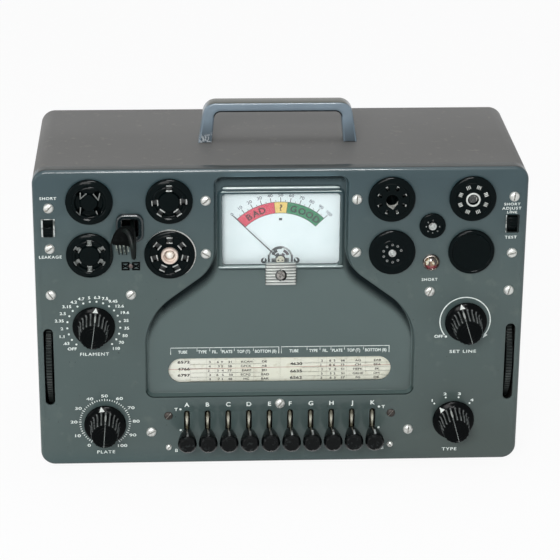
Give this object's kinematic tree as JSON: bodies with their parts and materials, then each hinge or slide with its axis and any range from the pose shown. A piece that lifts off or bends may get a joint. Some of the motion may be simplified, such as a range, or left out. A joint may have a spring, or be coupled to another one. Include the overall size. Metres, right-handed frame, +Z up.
{
  "type": "tube tester",
  "caption": "Portable vacuum tube tester in a steel case with a carry handle, tube sockets, selector levers, control knobs, a pointer meter and a roll chart.",
  "frame": {"origin": "on the table, in the middle of the space that the tester takes: half its width, and halfway between the lever tips and the screw heads on the back", "axes": "+X to the right of someone facing the panel, +Y into the case, +Z up"},
  "size_m": [0.368, 0.1852, 0.2785],
  "materials": {
    "cabinet_paint": "satin warm grey-brown enamel",
    "panel_paint": "satin dark green-grey enamel",
    "nickel": "worn bright nickel plate",
    "bare_steel": "plain plated steel",
    "handle_finish": "worn dark blue-grey enamel",
    "black_bakelite": "moulded black bakelite",
    "rubber_black": "matte",
    "phenolic": "brown phenolic board",
    "cream_ceramic": "glazed",
    "red_jewel": "red moulded lens",
    "chart_paper": "aged cream paper",
    "dial_white": "printed white dial",
    "meter_black": "moulded case",
    "magnet_grey": "dark magnet steel",
    "needle_black": "matte black",
    "meter_glass": "clear",
    "core_black": "black varnished laminations"
  },
  "bodies": {
    "case": {"cabinet": "cabinet_paint", "back_cover": "cabinet_paint", "case_screws": "nickel", "cord_grommet": "rubber_black", "front_panel": "panel_paint", "panel_screws": "nickel", "handle": "handle_finish", "feet": "rubber_black", "socket_contacts": "nickel", "pilot_lamp_socket": "cream_ceramic", "short_lamp_bezel": "nickel", "short_lamp_jewel": "red_jewel", "slide_switch_frames": "bare_steel", "rotary_switches": "phenolic", "potentiometers": "bare_steel", "lever_bank_frame": "bare_steel", "lever_pivot_rod": "bare_steel", "chart_frame": "bare_steel", "chart_paper": "chart_paper", "meter_case": "meter_black", "meter_dial": "dial_white", "meter_movement": "magnet_grey", "meter_glass": "meter_glass", "meter_cover_plate": "nickel", "power_transformer": "core_black", "grid_lead_bezel": "panel_paint", "grid_lead": "rubber_black", "grid_clip": "black_bakelite", "socket_four_pin": "black_bakelite", "socket_five_pin": "black_bakelite", "socket_six_pin": "black_bakelite", "socket_seven_pin": "black_bakelite", "socket_octal": "black_bakelite", "socket_loctal": "black_bakelite", "socket_miniature": "black_bakelite", "socket_noval": "black_bakelite", "socket_blank_plug": "black_bakelite"},
    "chart_drive": {"drive_roller": "phenolic", "left_thumbwheel": "black_bakelite", "right_thumbwheel": "black_bakelite"},
    "chart_supply": {"supply_roller": "phenolic"},
    "needle": {"meter_needle": "needle_black"},
    "zero_adjuster": {"zero_adjust_screw": "nickel"},
    "leakage_slider": {"leakage_button": "black_bakelite"},
    "test_slider": {"test_button": "black_bakelite"},
    "filament_control": {"filament_knob": "black_bakelite"},
    "plate_control": {"plate_knob": "black_bakelite"},
    "line_control": {"line_knob": "black_bakelite"},
    "type_control": {"type_knob": "black_bakelite"},
    "selector_a": {"lever_a": "black_bakelite"},
    "selector_b": {"lever_b": "black_bakelite"},
    "selector_c": {"lever_c": "black_bakelite"},
    "selector_d": {"lever_d": "black_bakelite"},
    "selector_e": {"lever_e": "black_bakelite"},
    "selector_f": {"lever_f": "black_bakelite"},
    "selector_g": {"lever_g": "black_bakelite"},
    "selector_h": {"lever_h": "black_bakelite"},
    "selector_j": {"lever_j": "black_bakelite"},
    "selector_k": {"lever_k": "black_bakelite"}
  },
  "joints": [
    {"name": "lever_a_swing", "type": "hinge", "parent": "case", "child": "selector_a", "pos_m": [-0.07144, -0.0216, 0.035], "axis": [1, 0, 0], "range_deg": [-18, 18]},
    {"name": "lever_b_swing", "type": "hinge", "parent": "case", "child": "selector_b", "pos_m": [-0.05556, -0.0216, 0.035], "axis": [1, 0, 0], "range_deg": [-18, 18]},
    {"name": "lever_c_swing", "type": "hinge", "parent": "case", "child": "selector_c", "pos_m": [-0.03969, -0.0216, 0.035], "axis": [1, 0, 0], "range_deg": [-18, 18]},
    {"name": "lever_d_swing", "type": "hinge", "parent": "case", "child": "selector_d", "pos_m": [-0.02381, -0.0216, 0.035], "axis": [1, 0, 0], "range_deg": [-18, 18]},
    {"name": "lever_e_swing", "type": "hinge", "parent": "case", "child": "selector_e", "pos_m": [-0.00794, -0.0216, 0.035], "axis": [1, 0, 0], "range_deg": [-18, 18]},
    {"name": "lever_f_swing", "type": "hinge", "parent": "case", "child": "selector_f", "pos_m": [0.00794, -0.0216, 0.035], "axis": [1, 0, 0], "range_deg": [-18, 18]},
    {"name": "lever_g_swing", "type": "hinge", "parent": "case", "child": "selector_g", "pos_m": [0.02381, -0.0216, 0.035], "axis": [1, 0, 0], "range_deg": [-18, 18]},
    {"name": "lever_h_swing", "type": "hinge", "parent": "case", "child": "selector_h", "pos_m": [0.03969, -0.0216, 0.035], "axis": [1, 0, 0], "range_deg": [-18, 18]},
    {"name": "lever_j_swing", "type": "hinge", "parent": "case", "child": "selector_j", "pos_m": [0.05556, -0.0216, 0.035], "axis": [1, 0, 0], "range_deg": [-18, 18]},
    {"name": "lever_k_swing", "type": "hinge", "parent": "case", "child": "selector_k", "pos_m": [0.07144, -0.0216, 0.035], "axis": [1, 0, 0], "range_deg": [-18, 18]},
    {"name": "filament_turn", "type": "hinge", "parent": "case", "child": "filament_control", "pos_m": [-0.141, -0.0596, 0.123], "axis": [0, 1, 0], "range_deg": [-145.25, 130.75]},
    {"name": "plate_turn", "type": "hinge", "parent": "case", "child": "plate_control", "pos_m": [-0.1342, -0.0596, 0.0413], "axis": [0, 1, 0], "range_deg": [-136.5, 156.5]},
    {"name": "line_turn", "type": "hinge", "parent": "case", "child": "line_control", "pos_m": [0.141, -0.0596, 0.123], "axis": [0, 1, 0], "range_deg": [-115, 147]},
    {"name": "type_turn", "type": "hinge", "parent": "case", "child": "type_control", "pos_m": [0.1342, -0.0596, 0.0413], "axis": [0, 1, 0], "range_deg": [0, 90]},
    {"name": "leakage_slide", "type": "slide", "parent": "case", "child": "leakage_slider", "axis": [0, 0, 1], "range_m": [0, 0.0044]},
    {"name": "test_slide", "type": "slide", "parent": "case", "child": "test_slider", "axis": [0, 0, 1], "range_m": [-0.0044, 0]},
    {"name": "chart_drive_turn", "type": "hinge", "parent": "case", "child": "chart_drive", "pos_m": [0, -0.0162, 0.0895], "axis": [1, 0, 0], "continuous": true},
    {"name": "chart_supply_turn", "type": "hinge", "parent": "case", "child": "chart_supply", "pos_m": [0, 0.0128, 0.0752], "axis": [1, 0, 0], "continuous": true},
    {"name": "needle_swing", "type": "hinge", "parent": "case", "child": "needle", "pos_m": [0, -0.0476, 0.1708], "axis": [0, 1, 0], "range_deg": [0, 90], "stiffness_Nm_per_rad": 0.0002},
    {"name": "zero_adjust_turn", "type": "hinge", "parent": "case", "child": "zero_adjuster", "pos_m": [0, -0.0596, 0.1626], "axis": [0, 1, 0], "range_deg": [-20, 20]}
  ],
  "couplings": [
    {"joint": "chart_supply_turn", "follows": "chart_drive_turn", "ratio": 1}
  ]
}
